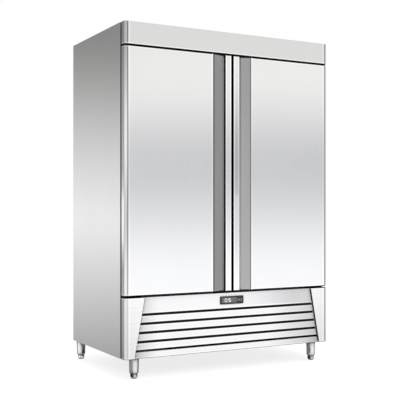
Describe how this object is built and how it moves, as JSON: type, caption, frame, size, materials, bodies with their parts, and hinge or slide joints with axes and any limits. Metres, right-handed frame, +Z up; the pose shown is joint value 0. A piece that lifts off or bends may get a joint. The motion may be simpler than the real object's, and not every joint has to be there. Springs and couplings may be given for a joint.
{
  "type": "commercial refrigerator",
  "caption": "Upright stainless steel commercial refrigerator with double doors, full-height recessed grips, a slotted machine-room panel with a controller, wire shelves and short legs.",
  "frame": {"origin": "on the floor under the centre of the bounding box", "axes": "+Z up, the doors face -Y, +X to the right of a person who faces the doors"},
  "size_m": [1.382, 0.814, 1.981],
  "materials": {
    "stainless_outer": "fine vertical brushing",
    "stainless_door": "fine brushing",
    "stainless_liner": "brushed",
    "galvanised_sheet": "dull zinc-coated",
    "foam": "rigid foam",
    "breaker": "matt",
    "gasket": "matt",
    "bush": "smooth",
    "bracket": "plated steel",
    "chromed_wire": "bright",
    "leg_steel": "satin",
    "foot_chrome": "bright",
    "coil_fins": "mill finish",
    "black_steel": "satin black",
    "grey_plastic": "matt",
    "black_plastic": "matt",
    "tinted_window": "glossy",
    "button": "satin",
    "copper_line": "bright copper",
    "white_plastic": "satin",
    "screw": "plated"
  },
  "bodies": {
    "cabinet": {"side_panel_left": "stainless_outer", "side_panel_right": "stainless_outer", "top_panel": "stainless_outer", "back_panel": "galvanised_sheet", "underfloor_panel": "galvanised_sheet", "insulation_foam": "foam", "inner_liner": "stainless_liner", "breaker_strips": "breaker", "front_frame": "stainless_liner", "header_panel": "stainless_door", "base_surround": "stainless_door", "base_pan": "galvanised_sheet", "rear_grille": "galvanised_sheet", "power_inlet": "black_plastic", "leg_tubes": "leg_steel", "hinge_brackets": "bracket", "shelf_pilasters": "stainless_liner", "shelf_clips": "chromed_wire", "interior_light": "white_plastic", "evaporator_coil": "coil_fins", "evaporator_cover": "white_plastic", "evaporator_drain": "grey_plastic", "fan_motors": "black_steel", "condenser_coil": "coil_fins", "condenser_shroud": "black_steel", "compressor": "black_steel", "compressor_grommets": "gasket", "refrigerant_lines": "copper_line", "condensate_pan": "galvanised_sheet", "cabinet_screws": "screw"},
    "left_door": {"left_door_skin": "stainless_door", "left_pull_profile": "stainless_door", "left_door_core": "foam", "left_door_inner_panel": "stainless_liner", "left_door_gasket": "gasket", "left_door_bushes": "bush"},
    "right_door": {"right_door_skin": "stainless_door", "right_pull_profile": "stainless_door", "right_door_core": "foam", "right_door_inner_panel": "stainless_liner", "right_door_gasket": "gasket", "right_door_bushes": "bush"},
    "grille": {"grille_panel": "stainless_door", "controller_housing": "black_plastic", "display_window": "tinted_window"},
    "set_button_body": {"set_button": "button"},
    "down_button_body": {"down_button": "button"},
    "up_button_body": {"up_button": "button"},
    "foot_front_left_body": {"foot_front_left": "foot_chrome"},
    "foot_front_right_body": {"foot_front_right": "foot_chrome"},
    "foot_rear_left_body": {"foot_rear_left": "foot_chrome"},
    "foot_rear_right_body": {"foot_rear_right": "foot_chrome"},
    "evaporator_fan_blade_body": {"evaporator_fan_blade": "grey_plastic"},
    "condenser_fan_blade_body": {"condenser_fan_blade": "grey_plastic"},
    "right_shelf_1_body": {"right_shelf_1": "chromed_wire"},
    "right_shelf_2_body": {"right_shelf_2": "chromed_wire"},
    "right_shelf_3_body": {"right_shelf_3": "chromed_wire"},
    "left_shelf_1_body": {"left_shelf_1": "chromed_wire"},
    "left_shelf_2_body": {"left_shelf_2": "chromed_wire"},
    "left_shelf_3_body": {"left_shelf_3": "chromed_wire"}
  },
  "joints": [
    {"name": "left_door_hinge", "type": "hinge", "parent": "cabinet", "child": "left_door", "pos_m": [-0.668, -0.384, 1.156], "axis": [0, 0, 1], "range_deg": [-110, 0]},
    {"name": "right_door_hinge", "type": "hinge", "parent": "cabinet", "child": "right_door", "pos_m": [0.668, -0.384, 1.156], "axis": [0, 0, 1], "range_deg": [0, 110]},
    {"name": "grille_tilt", "type": "hinge", "parent": "cabinet", "child": "grille", "pos_m": [0, -0.3965, 0.168], "axis": [1, 0, 0], "range_deg": [0, 80]},
    {"name": "set_button_press", "type": "slide", "parent": "grille", "child": "set_button_body", "axis": [0, 1, 0], "range_m": [0, 0.001], "stiffness_N_per_m": 300, "springref_m": -0.001},
    {"name": "down_button_press", "type": "slide", "parent": "grille", "child": "down_button_body", "axis": [0, 1, 0], "range_m": [0, 0.001], "stiffness_N_per_m": 300, "springref_m": -0.001},
    {"name": "up_button_press", "type": "slide", "parent": "grille", "child": "up_button_body", "axis": [0, 1, 0], "range_m": [0, 0.001], "stiffness_N_per_m": 300, "springref_m": -0.001},
    {"name": "evaporator_fan_spin", "type": "hinge", "parent": "cabinet", "child": "evaporator_fan_blade_body", "pos_m": [0, -0.17, 1.845], "axis": [0, 0, 1], "continuous": true},
    {"name": "condenser_fan_spin", "type": "hinge", "parent": "cabinet", "child": "condenser_fan_blade_body", "pos_m": [-0.15, -0.223, 0.27], "axis": [0, 1, 0], "continuous": true},
    {"name": "right_shelf_1_lift", "type": "slide", "parent": "cabinet", "child": "right_shelf_1_body", "axis": [0, 0, 1], "range_m": [0, 0.02]},
    {"name": "right_shelf_2_lift", "type": "slide", "parent": "cabinet", "child": "right_shelf_2_body", "axis": [0, 0, 1], "range_m": [0, 0.02]},
    {"name": "right_shelf_3_lift", "type": "slide", "parent": "cabinet", "child": "right_shelf_3_body", "axis": [0, 0, 1], "range_m": [0, 0.02]},
    {"name": "left_shelf_1_lift", "type": "slide", "parent": "cabinet", "child": "left_shelf_1_body", "axis": [0, 0, 1], "range_m": [0, 0.02]},
    {"name": "left_shelf_2_lift", "type": "slide", "parent": "cabinet", "child": "left_shelf_2_body", "axis": [0, 0, 1], "range_m": [0, 0.02]},
    {"name": "left_shelf_3_lift", "type": "slide", "parent": "cabinet", "child": "left_shelf_3_body", "axis": [0, 0, 1], "range_m": [0, 0.02]},
    {"name": "foot_front_left_screw", "type": "slide", "parent": "cabinet", "child": "foot_front_left_body", "axis": [0, 0, -1], "range_m": [0, 0.025]},
    {"name": "foot_front_right_screw", "type": "slide", "parent": "cabinet", "child": "foot_front_right_body", "axis": [0, 0, -1], "range_m": [0, 0.025]},
    {"name": "foot_rear_left_screw", "type": "slide", "parent": "cabinet", "child": "foot_rear_left_body", "axis": [0, 0, -1], "range_m": [0, 0.025]},
    {"name": "foot_rear_right_screw", "type": "slide", "parent": "cabinet", "child": "foot_rear_right_body", "axis": [0, 0, -1], "range_m": [0, 0.025]}
  ]
}
